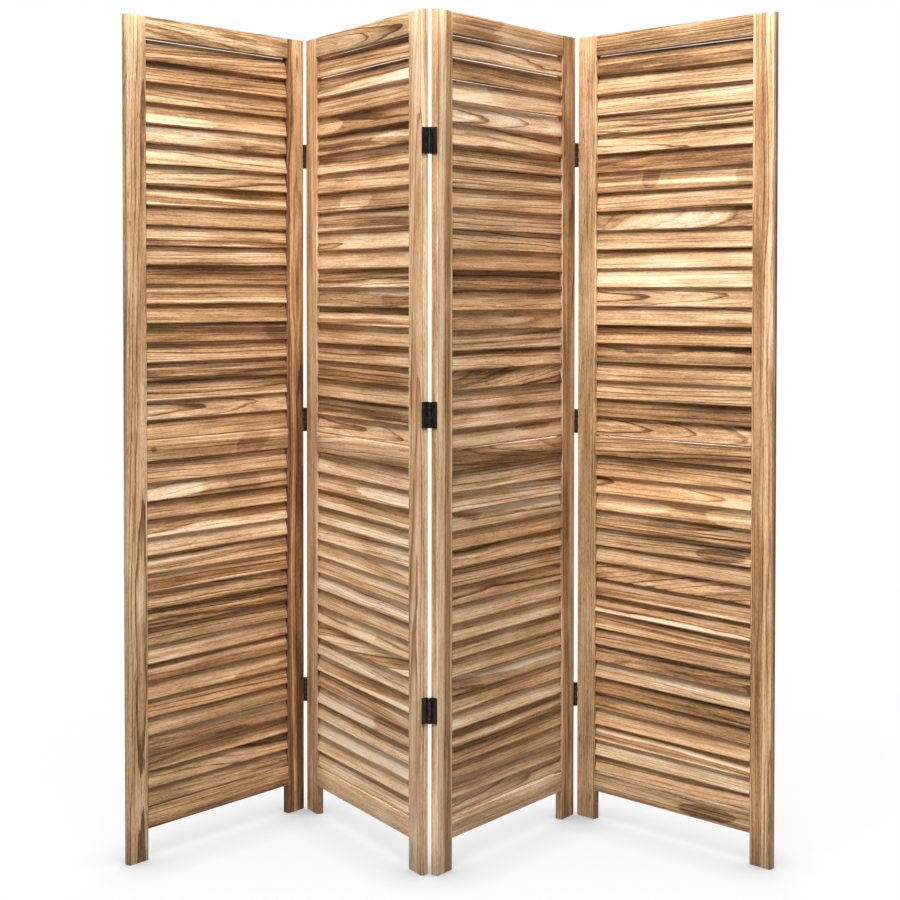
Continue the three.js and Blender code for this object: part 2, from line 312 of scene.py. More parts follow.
def wood_material(name, spacing, base):
    """Growth rings cut by the board, seen as lines, arches and bands, with streaks, fibres and pores.

    spacing is the rings' in metres and base the middle tone, as a place on the ramp of WOOD_TONES.
    """
    t = Tree(bpy.data.materials.new(name))
    grain = t.attribute("grain")
    grit = t.attribute("grit")
    shift, zones, warmth = t.split(t.attribute("look"))
    lines, streaks, flecks = t.split(t.attribute("figure"))

    # The trunk's rings wander slowly along the log and wobble a little
    slow = t.noise(grit, (3.0, 22.0, 22.0), detail=1.0, colour=True)
    quick = t.noise(grit, (16.0, 110.0, 110.0), detail=2.0, colour=True)
    wandered = t.jitter(grain, slow, (0, 0.016, 0.016))
    wobbled = t.jitter(wandered, quick, (0, 0.0024, 0.0024))
    radius = t.vector("LENGTH", t.vector("MULTIPLY", wobbled, (0, 1, 1)))

    # Each ring darkens towards its late wood, some rings more than others, and they group into zones
    uneven = t.noise_line(radius, 48.0, detail=1.0)
    phase = t.weigh(t.math("DIVIDE", radius, spacing), (uneven, 2.4, 0.5))
    ring = t.math("FLOOR", phase)
    part = t.math("FRACT", phase)
    strength = t.node("TexWhiteNoise", {"W": ring}, noise_dimensions="1D").outputs["Value"]
    late = t.math("MULTIPLY", t.span(part, 0.62, 0.93), t.span(part, 0.95, 1.0, 1.0, 0.0))
    line = t.math("MULTIPLY", late, t.span(strength, 0.0, 1.0, 0.2, 1.0))
    zone = t.span(t.noise_line(radius, 50.0, detail=0.0), 0.40, 0.56)

    # What lies along the fibres, from long streaks down to pores
    streak = t.noise(grit, (2.8, 210.0, 210.0), detail=3.0, rough=0.65)
    fibre = t.noise(grit, (15.0, 430.0, 430.0), detail=3.0, rough=0.7)
    mottle = t.noise(grit, (130.0, 420.0, 420.0), detail=2.0, rough=0.6)
    blotch = t.noise(grit, (5.5, 24.0, 24.0), detail=2.0)
    scorch = t.span(t.noise(grit, (3.2, 48.0, 48.0), detail=2.0), 0.52, 0.64)
    pore = t.span(t.noise(grit, (60.0, 1100.0, 1100.0), detail=1.0), 0.58, 0.70)
    fleck = t.span(t.noise(grit, (34.0, 420.0, 420.0), detail=1.0), 0.66, 0.74)

    tone = t.weigh(
        t.math("ADD", shift, base),
        (zone, zones, 0.5),
        (streak, streaks, 0.5),
        (blotch, 0.52, 0.5),
        (scorch, -0.11, 0.2),
        (fibre, 0.56, 0.5),
        (mottle, 0.34, 0.5),
        (pore, -0.16, 0.0),
    )
    lined = t.math("SUBTRACT", tone, t.math("MULTIPLY", line, lines))
    lined = t.math("SUBTRACT", lined, t.math("MULTIPLY", fleck, flecks))

    # Bark-side tongues and ovals with a sharp bent edge, on the boards that have one
    ragged = t.noise(grit, (26.0, 90.0, 90.0), detail=3.0, colour=True)
    for number in (1, 2):
        place = t.attribute(f"patch_{number}")
        amount = t.split(place)[2]
        moved = t.jitter(place, ragged, (0.5, 0.5, 0))
        reach = t.vector("LENGTH", t.vector("MULTIPLY", moved, (1, 1, 0)))
        mask = t.span(reach, 0.94, 1.05, 1.0, 0.0)
        lined = t.math("ADD", lined, t.math("MULTIPLY", mask, amount))

    colour = t.ramp(lined, WOOD_TONES)
    warm = t.blend(1.0, colour, linear("fff0dc"), "MULTIPLY")
    colour = t.blend(warmth, colour, warm)
    height = t.weigh(0.5, (fibre, 0.6, 0.5), (line, -0.5, 0.0), (pore, -0.6, 0.0))
    bump = t.node("Bump", {"Strength": 0.35, "Distance": 0.0005, "Height": height})
    rough = t.weigh(0.56, (fibre, 0.20, 0.5), (line, 0.08, 0.0))
    return t.finish(Base_Color=colour, Roughness=rough, Normal=bump.outputs["Normal"], IOR=1.45)


def steel_material():
    """Satin black powder coat with a fine orange peel and a slight cloud in its tone."""
    t = Tree(bpy.data.materials.new("satin_black_steel"))
    place = t.node("TexCoord").outputs["Object"]
    peel = t.noise(place, (900.0, 900.0, 900.0), detail=2.0)
    cloud = t.noise(place, (60.0, 60.0, 60.0), detail=3.0)
    colour = t.ramp(cloud, [(0.3, "141414"), (0.7, "1f1f20")])
    rough = t.weigh(0.36, (cloud, 0.25, 0.5))
    bump = t.node("Bump", {"Strength": 0.12, "Distance": 0.0002, "Height": peel})
    return t.finish(Base_Color=colour, Roughness=rough, Normal=bump.outputs["Normal"], Metallic=0.0)


# ---------- boards ----------

# A point far outside any patch, of no tone
NO_PATCH = Vector((9.0, 9.0, 0.0))


class Board:
    """How one board was cut from its log, and its own tone: this is what its grain is drawn from."""

    def __init__(self, rng, length, shade=0.0, **chosen):
        self.length = length
        drawn = {
            "pith": rng.uniform(0.030, 0.120),
            "turn": rng.choice((1, -1)) * rng.uniform(8, 88),
            "rise": rng.gauss(0, 0.012),
            "drift": rng.gauss(0, 0.012),
            "tone": rng.gauss(0, 0.09),
            "zones": rng.choice((0.05, 0.10, 0.15, 0.25, 0.40)),
            "warmth": rng.uniform(0.0, 0.6),
            "lines": rng.uniform(0.14, 0.52),
            "streaks": rng.uniform(0.4, 1.1),
            "flecks": rng.choice((0.0, 0.05, 0.10, 0.30)),
            "patches": (),
        }
        self.__dict__.update({**drawn, **chosen})
        self.tone += shade
        self.turn = math.radians(self.turn)
        self.offset = Vector([rng.uniform(0, 4) for _ in range(3)])

    def grain_at(self, p):
        radial = self.pith + p.y * math.cos(self.turn) + p.z * math.sin(self.turn) + self.rise * p.x
        sideways = p.z * math.cos(self.turn) - p.y * math.sin(self.turn) + self.drift * p.x
        return Vector((p.x, radial, sideways))

    def patch_at(self, number, p):
        """The point in a patch's own measure, where the edge lies at length 1, and the patch's tone.

        A patch is (start, end, z, half height, slope, tone): it runs between two shares of the board's
        length, and its z and half height are in millimetres.
        """
        if number > len(self.patches):
            return NO_PATCH
        start, end, z, half_height, slope, tone = self.patches[number - 1]
        from_middle = p.x - ((start + end) / 2 - 0.5) * self.length
        half_length = (end - start) * self.length / 2
        across = p.z - z * MM - slope * from_middle
        return Vector((from_middle / half_length, across / (half_height * MM), tone))

    def paint(self, mesh):
        layers = {
            "grain": self.grain_at,
            "grit": lambda p: self.grain_at(p) + self.offset,
            "look": lambda p: Vector((self.tone, self.zones, self.warmth)),
            "figure": lambda p: Vector((self.lines, self.streaks, self.flecks)),
            "patch_1": lambda p: self.patch_at(1, p),
            "patch_2": lambda p: self.patch_at(2, p),
        }
        for name, rule in layers.items():
            layer = mesh.attributes.new(name, "FLOAT_VECTOR", "POINT")
            flat = [c for vertex in mesh.vertices for c in rule(vertex.co)]
            layer.data.foreach_set("vector", flat)


def rounded_section(thickness, width, radius, arc_steps):
    """(y, z) points of a rectangle with rounded corners round the origin."""
    half_y = thickness / 2 - radius
    half_z = width / 2 - radius
    points = []
    for quarter, (side_y, side_z) in enumerate(((1, 1), (-1, 1), (-1, -1), (1, -1))):
        for step in range(arc_steps + 1):
            angle = math.radians(90 * (quarter + step / arc_steps))
            y = side_y * half_y + radius * math.cos(angle)
            points.append((y, side_z * half_z + radius * math.sin(angle)))
    return points


def stacked(loops, closed=True):
    """Vertices and faces of loops of as many points each, joined one to the next, closed at both ends."""
    count = len(loops[0])
    vertices = [point for loop in loops for point in loop]
    faces = []
    for row in range(len(loops) - 1):
        for i in range(count):
            a = row * count + i
            b = row * count + (i + 1) % count
            faces.append((a, a + count, b + count, b))
    if closed:
        last = (len(loops) - 1) * count
        faces.append(tuple(range(count)))
        faces.append(tuple(last + i for i in reversed(range(count))))
    return vertices, faces


def swept(section, stations):
    """A section carried along x through (x, inset) stations."""
    half_y = max(y for y, z in section)
    half_z = max(z for y, z in section)
    loops = []
    for x, inset in stations:
        shrink_y = 1 - inset / half_y
        shrink_z = 1 - inset / half_z
        loops.append([(x, y * shrink_y, z * shrink_z) for y, z in section])
    return stacked(loops)


def revolved(profile, sides, closed):
    """(radius, z) points turned round the z axis: with closed ends, or as a ring's whole section."""
    angles = [math.tau * i / sides for i in range(sides)]
    loops = [[(radius * math.cos(a), radius * math.sin(a), z) for a in angles] for radius, z in profile]
    if not closed:
        loops.append(loops[0])
    return stacked(loops, closed)


def stations_of(length, arris, steps):
    """(x, inset) of a board's sections: its two ends are eased, and it has steps between them."""
    half = length / 2
    middle = [((half - arris) * (2 * i / steps - 1), 0.0) for i in range(steps + 1)]
    soft = 0.3 * arris
    most = 0.9 * arris
    return [(-half, most), (-half + soft, soft), *middle, (half - soft, soft), (half, most)]


def joined(*parts):
    """Several (vertices, faces) as one."""
    vertices, faces = [], []
    for more_vertices, more_faces in parts:
        start = len(vertices)
        vertices += more_vertices
        faces += [tuple(start + i for i in face) for face in more_faces]
    return vertices, faces


def mesh_of(name, shape):
    """A smooth-shaded mesh of (vertices, faces), sound and with its faces turned outwards."""
    vertices, faces = shape
    mesh = bpy.data.meshes.new(name)
    mesh.from_pydata([tuple(v) for v in vertices], [], faces)
    whole = bmesh.new()
    whole.from_mesh(mesh)
    bmesh.ops.remove_doubles(whole, verts=whole.verts, dist=1e-7)
    bmesh.ops.recalc_face_normals(whole, faces=whole.faces)
    whole.to_mesh(mesh)
    whole.free()
    mesh.polygons.foreach_set("use_smooth", [True] * len(mesh.polygons))
    mesh.set_sharp_from_angle(angle=math.radians(SHARP_ANGLE))
    return mesh


def place_piece(name, mesh, material, body, slot, matrix, *replaced):
    made = bpy.data.objects.new(name, mesh)
    bpy.context.scene.collection.objects.link(made)
    mesh.materials.append(material)
    # The turn goes into the mesh, so that the piece's box fits it closely
    mesh.transform(matrix.to_3x3().to_4x4())
    made.matrix_world = Matrix.Translation(matrix.to_translation())
    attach(made, body)
    if replaced:
        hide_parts(*replaced)


# ---------- the frame boards ----------

# Stands a board's length up
QUARTER_TURN = Matrix.Rotation(math.radians(-90), 4, "Y")

# What stands out in a frame board's grain; the rest comes from its own seeded draw
FRAME_BOARDS = {
    "panel_1_left_stile": {
        "tone": 0.04, "turn": 14, "pith": 0.05, "rise": 0.010, "lines": 0.45, "zones": 0.10,
    },
    "panel_1_right_stile": {
        "tone": -0.21, "turn": 20, "pith": 0.06, "rise": 0.006, "lines": 0.40, "zones": 0.30,
    },
    "panel_1_top_rail": {
        "tone": -0.02, "turn": 25, "rise": 0.05, "lines": 0.25, "streaks": 1.3, "zones": 0.20,
    },
    "panel_1_mid_rail": {
        "tone": -0.01,
        "patches": ((0.60, 0.88, 2, 30, 0.4, -0.15), (0.02, 0.06, 2, 6, 0, -0.24)),
    },
    "panel_1_bottom_rail": {"tone": -0.12, "zones": 0.25, "lines": 0.30},
    "panel_2_left_stile": {
        "tone": 0.03, "turn": 75, "pith": 0.09, "rise": 0.002, "lines": 0.16, "zones": 0.05,
    },
    "panel_2_right_stile": {
        "tone": 0.18, "turn": 8, "pith": 0.05, "rise": 0.016, "lines": 0.40, "flecks": 0.10,
    },
    "panel_2_top_rail": {
        "tone": -0.02, "turn": 8, "pith": 0.02, "rise": 0.06, "lines": 0.50, "zones": 0.25,
    },
    "panel_2_mid_rail": {"tone": 0.07, "rise": 0.010},
    "panel_2_bottom_rail": {"tone": 0.23, "rise": 0.017, "flecks": 0.30},
    "panel_3_left_stile": {
        "tone": 0.15, "turn": 70, "pith": 0.08, "rise": 0.002, "flecks": 0.10, "lines": 0.25,
    },
    "panel_3_right_stile": {"tone": -0.05, "turn": 30, "pith": 0.07, "rise": 0.004, "lines": 0.40},
    "panel_3_top_rail": {"tone": 0.17, "patches": ((-1.0, 0.42, 0, 200, 0, -0.22),), "lines": 0.22},
    "panel_3_mid_rail": {"tone": -0.20, "patches": ((-0.2, 1.2, 12, 5, 0, 0.16),), "lines": 0.40},
    "panel_3_bottom_rail": {"tone": 0.19, "zones": 0.15, "lines": 0.30},
    "panel_4_left_stile": {
        "tone": -0.03, "turn": 60, "pith": 0.08, "rise": 0.008, "flecks": 0.40, "lines": 0.30,
    },
    "panel_4_right_stile": {
        "tone": 0.07, "turn": 35, "pith": 0.07, "rise": 0.003, "lines": 0.45, "zones": 0.25,
    },
    "panel_4_top_rail": {"tone": -0.14, "rise": 0.020, "lines": 0.40},
    "panel_4_mid_rail": {"tone": -0.05, "zones": 0.30},
    "panel_4_bottom_rail": {"tone": 0.02, "patches": ((0.55, 0.93, -4, 14, 0.04, -0.26),), "zones": 0.15},
}


def add_frame_board(panel, name, size, arrises, steps, matrix, material):
    """A board of a size (length, width), with arrises along its edges and round its ends."""
    length, width = size
    along, ends = arrises
    board = Board(random.Random(name), length, **FRAME_BOARDS[name])
    section = rounded_section(panel.depth, width, along, ARRIS_STEPS)
    mesh = mesh_of(name, swept(section, stations_of(length, ends, steps)))
    board.paint(mesh)
    place_piece(f"{name}_board", mesh, material, panel.name, "frame_wood", matrix, name)


def add_frame_boards(panel, material):
    half = panel.stile_width / 2
    stile_size = (panel.height, panel.stile_width)
    stile_arrises = (STILE_ARRIS, STILE_END_ARRIS)
    for side, x in (("left", half), ("right", panel.width - half)):
        name = f"{panel.name}_{side}_stile"
        matrix = panel.matrix(x, panel.depth / 2, panel.height / 2) @ QUARTER_TURN
        add_frame_board(panel, name, stile_size, stile_arrises, STILE_STEPS, matrix, material)
    rail_length = panel.opening - 2 * RAIL_END_GAP
    rail_arrises = (RAIL_ARRIS, RAIL_END_ARRIS)
    for part, (low, high) in panel.rails.items():
        name = f"{panel.name}_{part}_rail"
        rail_size = (rail_length, high - low)
        matrix = panel.matrix(panel.width / 2, panel.depth / 2, (low + high) / 2)
        add_frame_board(panel, name, rail_size, rail_arrises, RAIL_STEPS, matrix, material)


# ---------- the slats ----------

# How much lighter the slats of a bank are than the rest, panel by panel
BANK_SHADES = {"upper": (-0.10, -0.03, -0.03, -0.08), "lower": (-0.08, 0.18, 0.07, -0.01)}

ARCS = {"turn": 9, "pith": 0.025, "rise": 0.045, "lines": 0.45}
BROWN = {"tone": -0.20, "lines": 0.30}
CREAM = {"tone": 0.09, "lines": 0.15}

# What stands out in a slat's grain, by panel, bank and number from the top
SLAT_BOARDS = {
    (1, "upper", 1): {"rise": 0.05, "lines": 0.40},
    (1, "upper", 3): {"patches": ((-0.1, 0.55, -13, 10, 0, 0.20),)},
    (1, "upper", 4): {"patches": ((-0.1, 0.50, -12, 9, 0, 0.22),)},
    (1, "upper", 5): {"lines": 0.45, "warmth": 0.0},
    (1, "upper", 15): {**BROWN, "patches": ((0.84, 1.2, 0, 40, 0, -0.14),)},
    (1, "upper", 17): {**BROWN, "streaks": 1.7, "flecks": 0.30},
    (1, "upper", 19): ARCS,
    (1, "upper", 20): {"tone": 0.02, "lines": 0.08, "zones": 0.05},
    (1, "lower", 2): {
        "tone": 0.02,
        "patches": ((-0.1, 0.38, 0, 40, 0, 0.17), (0.55, 0.80, 0, 40, 0, -0.12)),
    },
    (1, "lower", 9): {**BROWN, "streaks": 1.6},
    (2, "upper", 4): {"tone": -0.13, "patches": ((-0.06, 0.28, -2, 17, 0, 0.30),)},
    (2, "upper", 5): {"tone": -0.16, "patches": ((0.60, 1.20, -5, 12, 0, 0.27),)},
    (2, "upper", 8): {"tone": -0.08, "patches": ((0.25, 0.60, -2, 19, 0, 0.22),)},
    (2, "upper", 11): CREAM,
    (2, "upper", 12): {"lines": 0.55, "streaks": 1.4},
    (2, "upper", 13): {"warmth": 0.0, "patches": ((0.70, 1.3, -4, 24, 0, -0.12),)},
    (2, "upper", 19): BROWN,
    (2, "upper", 20): {**ARCS, "tone": 0.12},
    (2, "lower", 2): {"tone": -0.10, "patches": ((0.42, 1.25, -5, 12, 0, 0.26),)},
    (2, "lower", 10): {"patches": ((0.33, 0.66, -2, 15, 0, 0.24),)},
    (2, "lower", 11): {"rise": 0.12, "lines": 0.50},
    (2, "lower", 14): BROWN,
    (2, "lower", 15): {"tone": -0.14, "patches": ((-0.6, 0.66, 0, 90, 0, 0.30),)},
    (2, "lower", 17): CREAM,
    (2, "lower", 18): CREAM,
    (3, "upper", 3): {"streaks": 1.5, "patches": ((-0.12, 0.36, 0, 22, 0, 0.22),)},
    (3, "upper", 4): {**ARCS, "tone": 0.12},
    (3, "upper", 12): {"tone": -0.28, "lines": 0.35},
    (3, "upper", 17): {"rise": 0.09, "lines": 0.45},
    (3, "upper", 20): {**CREAM, "patches": ((0.58, 0.90, 4, 8, 0, -0.26),)},
    (4, "upper", 4): {"tone": -0.05, "lines": 0.50, "streaks": 1.4, "warmth": 0.0},
    (4, "upper", 7): {**CREAM, "patches": ((0.30, 0.42, 6, 24, 0.2, -0.18), (0.90, 1.2, 0, 40, 0, -0.16))},
    (4, "upper", 9): {"tone": 0.04, "rise": 0.10, "zones": 0.40},
    (4, "upper", 10): {**CREAM, "warmth": 0.0},
    (4, "upper", 13): ARCS,
    (4, "upper", 16): BROWN,
    (4, "upper", 19): BROWN,
    (4, "upper", 20): {**ARCS, "tone": -0.12, "rise": 0.08},
    (4, "lower", 2): {**ARCS, "warmth": 1.0},
    (4, "lower", 3): {
        "tone": -0.13,
        "patches": ((-0.25, 0.52, -2, 17, 0, 0.28), (0.72, 1.30, -4, 22, 0, 0.27)),
    },
    (4, "lower", 4): {"tone": -0.14, "lines": 0.50, "streaks": 1.7},
    (4, "lower", 5): {"tone": -0.04, "warmth": 0.0, "patches": ((0.66, 0.97, -8, 13, 0, -0.27),)},
    (4, "lower", 7): {"rise": -0.14, "lines": 0.40},
    (4, "lower", 10): {"patches": ((-0.2, 1.2, -17, 8, 0, 0.18),)},
    (4, "lower", 12): BROWN,
    (4, "lower", 13): {"warmth": 0.0},
    (4, "lower", 16): CREAM,
}


def pin_shape(start, end):
    angles = [math.tau * i / SLAT_PIN_SIDES for i in range(SLAT_PIN_SIDES)]
    section = [(SLAT_PIN_RADIUS * math.cos(a), SLAT_PIN_RADIUS * math.sin(a)) for a in angles]
    return swept(section, [(start, 0.0), (end, 0.0)])


def slat_shape(length, reach, lift):
    """A slat that sits that far above the middle of its two pins, whose tips are reach from its middle."""
    section = rounded_section(SLAT_THICKNESS, SLAT_WIDTH, SLAT_EDGE_RADIUS, SLAT_EDGE_STEPS)
    vertices, faces = swept(section, stations_of(length, SLAT_END_ARRIS, SLAT_STEPS))
    body = [(x, y, z + lift) for x, y, z in vertices], faces
    ends = [pin_shape(length / 2, reach), pin_shape(-reach, -length / 2)]
    return joined(body, *ends)


def warp(mesh, rng, length):
    """A board is never quite straight: it bows a little and its edges waver."""
    bow = rng.uniform(-SLAT_BOW, SLAT_BOW)
    sway = rng.uniform(-SLAT_SWAY, SLAT_SWAY)
    start = rng.uniform(0, math.tau)
    for vertex in mesh.vertices:
        share = 2 * vertex.co.x / length
        fade = max(0.0, 1 - share * share)
        vertex.co.y += bow * fade
        vertex.co.z += sway * fade * math.sin(start + 4 * share)


def slat_lift(panel, bank, index, last):
    """How far a slat sits above the middle of its pins, where last is the lowest slat's index."""
    end = {0: "first", last: "last"}.get(index)
    return LIFTS[bank, end][panel.number - 1] * MM if (bank, end) in LIFTS else 0.0


def add_slat(panel, bank, index, last, height, tilt, material):
    turns = bank == "upper" and index < TURNING_SLATS.get(panel.name, 0)
    name = f"{panel.name}_{bank}_slat_{index + 1:02d}"
    rng = random.Random(name)
    length = panel.opening - 2 * (TURNING_SLAT_GAP if turns else FIXED_SLAT_GAP)
    shade = BANK_SHADES[bank][panel.number - 1]
    board = Board(rng, length, shade, **SLAT_BOARDS.get((panel.number, bank, index + 1), {}))
    lift = slat_lift(panel, bank, index, last)
    mesh = mesh_of(name, slat_shape(length, panel.opening / 2 - PIN_TIP_GAP, lift))
    board.paint(mesh)
    warp(mesh, rng, length)

    # A slat that turns leans only the way that leaves its neighbours free
    lean = rng.uniform(0.0, SLAT_LEAN) if turns else rng.gauss(0, SLAT_LEAN)
    hang = HANGS[bank][panel.number - 1] * math.sin(math.pi * index / last)
    level = hang + rng.gauss(0, SLAT_LEVEL)
    matrix = panel.matrix(panel.width / 2, panel.depth / 2, height)
    matrix = matrix @ Matrix.Rotation(math.radians(level), 4, "Y")
    matrix = matrix @ Matrix.Rotation(-tilt - math.radians(lean), 4, "X")
    if turns:
        body = f"{panel.name}_slat_{index + 1}"
        node = f"{panel.name}_turning_slat_{index + 1}"
    else:
        body = panel.name
        node = f"{panel.name}_{bank}_slats"
    place_piece(name, mesh, material, body, "slat_wood", matrix, node)


def add_slats(panel, material):
    for bank in BANKS:
        heights, tilt = panel.pins(bank)
        for index, height in enumerate(heights):
            add_slat(panel, bank, index, len(heights) - 1, height, tilt, material)


# ---------- the hinges ----------

# A leaf's own axes have the pin line as z. The leaf lies on the side of x that wood gives, 1 or -1, with its
# outer face on its stile, and reaches along y from its barrel: back where reach is 1, forward where it is -1.


def leaf_reach(depth):
    """How far a leaf reaches from its pin line across the edge of a board this deep."""
    return PIVOT_STAND_OFF + depth - LEAF_SETBACK


def plate_shape(near, far, half_height, wood):
    """A leaf's plate from near to far of the pin line, with two rounded corners."""
    turn = 1 if far > near else -1
    corner = []
    for step in range(LEAF_CORNER_STEPS + 1):
        angle = math.radians(90 * step / LEAF_CORNER_STEPS)
        y = far - turn * LEAF_CORNER * (1 - math.cos(angle))
        corner.append((y, half_height - LEAF_CORNER * (1 - math.sin(angle))))
    mirrored = [(y, -z) for y, z in reversed(corner)]
    outline = [*corner, (near, half_height), (near, -half_height), *mirrored]

    middle = (near + far) / 2
    half_width = abs(far - near) / 2
    levels = (
        (LEAF_INNER, LEAF_ARRIS),
        (LEAF_INNER + LEAF_ARRIS, 0.0),
        (BARREL_RADIUS - LEAF_ARRIS, 0.0),
        (BARREL_RADIUS, LEAF_ARRIS),
    )
    loops = []
    for x, inset in levels:
        across = 1 - inset / half_width
        up = 1 - inset / half_height
        loops.append([(wood * x, middle + (y - middle) * across, z * up) for y, z in outline])
    return stacked(loops)


def knuckle_shape(low, high):
    """One knuckle between two heights, with the bore through it."""
    profile = [
        (HINGE_BORE_RADIUS, low),
        (BARREL_RADIUS - KNUCKLE_ARRIS, low),
        (BARREL_RADIUS, low + KNUCKLE_ARRIS),
        (BARREL_RADIUS, high - KNUCKLE_ARRIS),
        (BARREL_RADIUS - KNUCKLE_ARRIS, high),
        (HINGE_BORE_RADIUS, high),
    ]
    return revolved(profile, BARREL_SIDES, closed=False)


def strap_shape(low, high, wood, reach):
    """What joins the knuckle between two heights to its leaf's plate."""
    far = reach * (BARREL_RADIUS + KNUCKLE_GAP + STRAP_LAP)
    section = [
        (wood * LEAF_INNER, reach * STRAP_START),
        (wood * BARREL_RADIUS, 0.0),
        (wood * BARREL_RADIUS, far),
        (wood * LEAF_INNER, far),
    ]
    return stacked([[(x, y, z) for x, y in section] for z in (low + STRAP_END_GAP, high - STRAP_END_GAP)])


def hinge_pin_shape(half_height):
    """The pin, with a flat centre and an arris at both ends."""
    profile = [
        (0.3 * HINGE_PIN_RADIUS, -half_height),
        (HINGE_PIN_RADIUS - HINGE_PIN_ARRIS, -half_height),
        (HINGE_PIN_RADIUS, -half_height + HINGE_PIN_ARRIS),
    ]
    profile += [(radius, -z) for radius, z in reversed(profile)]
    return revolved(profile, HINGE_PIN_SIDES, closed=True)


def leaf_shape(with_pin, wood, reach, half_height, depth):
    """One leaf round its pin line: its plate, its knuckles with their bores and, in one leaf, the pin."""
    touching = math.sqrt(BARREL_RADIUS**2 - LEAF_INNER**2)
    near = reach * (touching + KNUCKLE_GAP)
    parts = [plate_shape(near, reach * leaf_reach(depth), half_height, wood)]
    length = (2 * half_height - (KNUCKLE_COUNT - 1) * KNUCKLE_GAP) / KNUCKLE_COUNT
    for index in range(0 if with_pin else 1, KNUCKLE_COUNT, 2):
        low = -half_height + index * (length + KNUCKLE_GAP)
        parts.append(knuckle_shape(low, low + length))
        parts.append(strap_shape(low, low + length, wood, reach))
    if with_pin:
        parts.append(hinge_pin_shape(half_height))
    return joined(*parts)


def screw_shape():
    """A countersunk cross-head screw whose head's face is the plane x = 0 and whose shank runs to -x."""
    narrow = CROSS_HALF_WIDTH
    corners = ((CROSS_ARM, -narrow), (CROSS_ARM, narrow), (narrow, narrow))
    cross = []
    for cos, sin in ((1, 0), (0, 1), (-1, 0), (0, -1)):
        cross += [(along * cos - side * sin, along * sin + side * cos) for along, side in corners]
    rim = []
    for y, z in cross:
        grown = SCREW_HEAD_RADIUS / math.hypot(y, z)
        rim.append((y * grown, z * grown))

    # From the floor of the cross out to the rim, then down to the tip
    levels = (
        (-CROSS_DEPTH, cross, 0.8),
        (0.0, cross, 1.0),
        (0.0, rim, 0.95),
        (-SCREW_RIM_HEIGHT, rim, 1.0),
        (-SCREW_HEAD_HEIGHT, rim, SCREW_SHANK_SHARE),
        (-SCREW_SHANK_HEIGHT, rim, SCREW_SHANK_SHARE),
        (-SCREW_LENGTH, rim, 0.1),
    )
    return stacked([[(x, y * share, z * share) for y, z in outline] for x, outline, share in levels])


def add_leaf(panel, name, pin_line, with_pin, material):
    low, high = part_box(name)
    half_height = (high.z - low.z) / 2
    from_origin = Vector(pin_line) - panel.origin
    x = from_origin.dot(panel.along)
    y = from_origin.dot(panel.back)
    wood = -1 if with_pin else 1
    reach = 1 if y < 0 else -1
    matrix = panel.matrix(x, y, (low.z + high.z) / 2)
    mesh = mesh_of(name, leaf_shape(with_pin, wood, reach, half_height, panel.depth))
    place_piece(f"{name}_steel", mesh, material, panel.name, "hinge_steel", matrix, name)

    middle = reach * (BARREL_RADIUS + KNUCKLE_GAP + leaf_reach(panel.depth)) / 2
    facing = Matrix.Rotation(math.pi if wood > 0 else 0, 4, "Z")
    for place, side in (("upper", 1), ("lower", -1)):
        screw = f"{name}_{place}_screw"
        height = side * (half_height - SCREW_END_DISTANCE)
        spot = Matrix.Translation((wood * (LEAF_INNER - SCREW_HEAD_PROUD), middle, height))
        turned = Matrix.Rotation(random.Random(name + place).uniform(0, 1.5), 4, "X")
        placed = matrix @ spot @ facing @ turned
        place_piece(screw, mesh_of(screw, screw_shape()), material, panel.name, "hinge_steel", placed)


def add_hinges(panels, material):
    for left, right in zip(panels, panels[1:]):
        seam = f"{left.number}_{right.number}"
        joint = next(j for j in frame["joints"] if j["name"] == f"fold_{seam}")
        for place in ("top", "middle", "bottom"):
            for panel, part in ((left, "pin_leaf"), (right, "plain_leaf")):
                name = f"hinge_{seam}_{place}_{part}"
                add_leaf(panel, name, joint["pos_m"], part == "pin_leaf", material)


# ---------- the studio ----------

WHITE = (1, 1, 1, 1)
SOFT_WHITE = (1.0, 0.99, 0.97, 1)
SOFT_LIGHT = 0.055

FLOOR_REACH = 14.0

# Between these distances from its middle the floor fades to plain white
FLOOR_FADE = (1.1, 1.9)

LAMP_SIZE = 2.0
LAMP_TARGET = Vector((0.0, 0.0, 0.8))
LAMPS = [
    ("overhead", (-0.3, -1.5, 4.3), 318, (1.0, 0.99, 0.975)),
    ("front", (-0.9, -4.6, 2.4), 26, (1.0, 0.99, 0.98)),
    ("overhead_back", (0.3, 1.5, 4.3), 160, (1.0, 0.99, 0.975)),
    ("back", (0.9, 4.6, 2.4), 150, (1.0, 0.99, 0.98)),
]


def add_camera():
    data = bpy.data.cameras.new("camera")
    data.sensor_width = SENSOR_WIDTH
    data.lens = SENSOR_WIDTH * FOCAL_PIXELS / PHOTO_SIZE
    data.shift_x = (PHOTO_SIZE / 2 - PRINCIPAL_X) / PHOTO_SIZE
    data.shift_y = (PRINCIPAL_Y - PHOTO_SIZE / 2) / PHOTO_SIZE
    camera = bpy.data.objects.new("camera", data)
    camera.location = CAMERA_PLACE
    camera.rotation_euler = (math.radians(90) - CAMERA_PITCH, 0, 0)
    bpy.context.scene.collection.objects.link(camera)
    bpy.context.scene.camera = camera


def add_world():
    """White to the camera, and a faint even light to everything else."""
    world = bpy.data.worlds.new("studio")
    bpy.context.scene.world = world
    t = Tree(world)
    path = t.node("LightPath")
    seen = t.math("MAXIMUM", path.outputs["Is Camera Ray"], path.outputs["Is Transmission Ray"])
    soft = t.node("Background", {"Color": SOFT_WHITE, "Strength": SOFT_LIGHT})
    white = t.node("Background", {"Color": WHITE})
    shown = t.node("MixShader", {0: seen, 1: soft.outputs[0], 2: white.outputs[0]})
    t.node("OutputWorld", {"Surface": shown.outputs[0]})


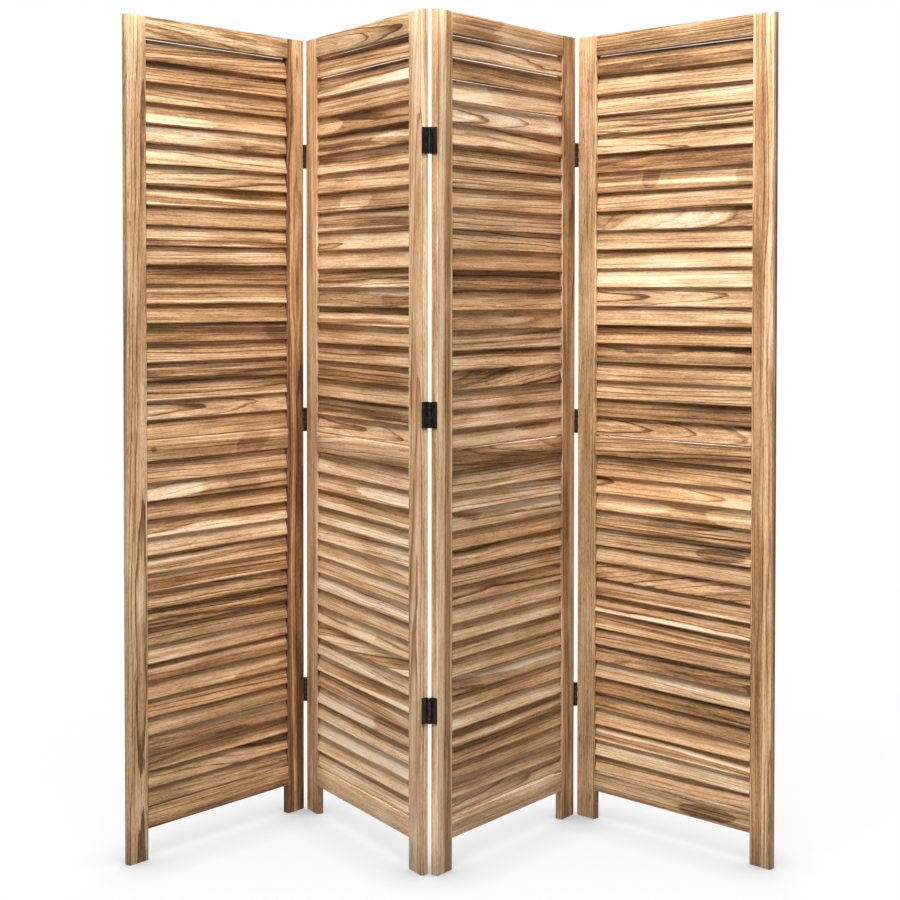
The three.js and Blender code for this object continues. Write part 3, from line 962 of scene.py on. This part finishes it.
def floor_material():
    """White to the camera, with a painted soft shade round the screen's foot and the lamps' real shadow on a faint
    diffuse, and dull to everything else.
    """
    t = Tree(bpy.data.materials.new("white_floor"))
    dull = t.node("BsdfDiffuse", {"Color": (0.28, 0.27, 0.26, 1)})
    plain = t.node("BsdfDiffuse", {"Color": (0.05, 0.05, 0.05, 1)})
    # Ambient occlusion dims the floor's white emission under and around the screen: a painted soft shade near its
    # foot, added to the lamps' real shadow on the faint diffuse
    nearby = t.node("AmbientOcclusion", {"Distance": 0.13}, samples=8).outputs["AO"]
    around = t.node("AmbientOcclusion", {"Distance": 0.40}, samples=8).outputs["AO"]
    painted_shade_strength = t.weigh(0.90, (nearby, 0.62, 1.0), (around, 0.10, 1.0))
    painted_shade_emission = t.node("Emission", {"Color": WHITE, "Strength": painted_shade_strength})
    lit = t.node("AddShader", {0: plain.outputs[0], 1: painted_shade_emission.outputs[0]})
    white = t.node("Emission", {"Color": WHITE, "Strength": 1.0})
    distance = t.vector("LENGTH", t.node("TexCoord").outputs["Object"])
    far = t.span(distance, *FLOOR_FADE)
    shown = t.node("MixShader", {0: far, 1: lit.outputs[0], 2: white.outputs[0]})
    seen = t.node("LightPath").outputs["Is Camera Ray"]
    mixed = t.node("MixShader", {0: seen, 1: dull.outputs[0], 2: shown.outputs[0]})
    t.node("OutputMaterial", {"Surface": mixed.outputs[0]})
    return t.owner


def add_floor():
    mesh = bpy.data.meshes.new("floor")
    corners = [(x * FLOOR_REACH, y * FLOOR_REACH, 0) for x, y in ((-1, -1), (1, -1), (1, 1), (-1, 1))]
    mesh.from_pydata(corners, [], [(0, 1, 2, 3)])
    mesh.materials.append(floor_material())
    floor = bpy.data.objects.new("floor", mesh)
    bpy.context.scene.collection.objects.link(floor)


def add_lamp(name, place, power, colour):
    data = bpy.data.lights.new(name, "AREA")
    data.shape = "DISK"
    data.size = LAMP_SIZE
    data.energy = power
    data.color = colour
    lamp = bpy.data.objects.new(name, data)
    lamp.location = place
    direction = LAMP_TARGET - Vector(place)
    lamp.rotation_euler = direction.to_track_quat("-Z", "Y").to_euler()
    bpy.context.scene.collection.objects.link(lamp)


# ---------- the screen ----------

slat_wood = wood_material("slat_wood", spacing=0.0065, base=0.64)
frame_wood = wood_material("frame_wood", spacing=0.0055, base=0.60)
black_steel = steel_material()

panels = [Panel(number) for number in (1, 2, 3, 4)]
for panel in panels:
    add_frame_boards(panel, frame_wood)
    add_slats(panel, slat_wood)
add_hinges(panels, black_steel)

bpy.context.scene.view_settings.view_transform = "Standard"
add_camera()
add_world()
add_floor()
for lamp in LAMPS:
    add_lamp(*lamp)
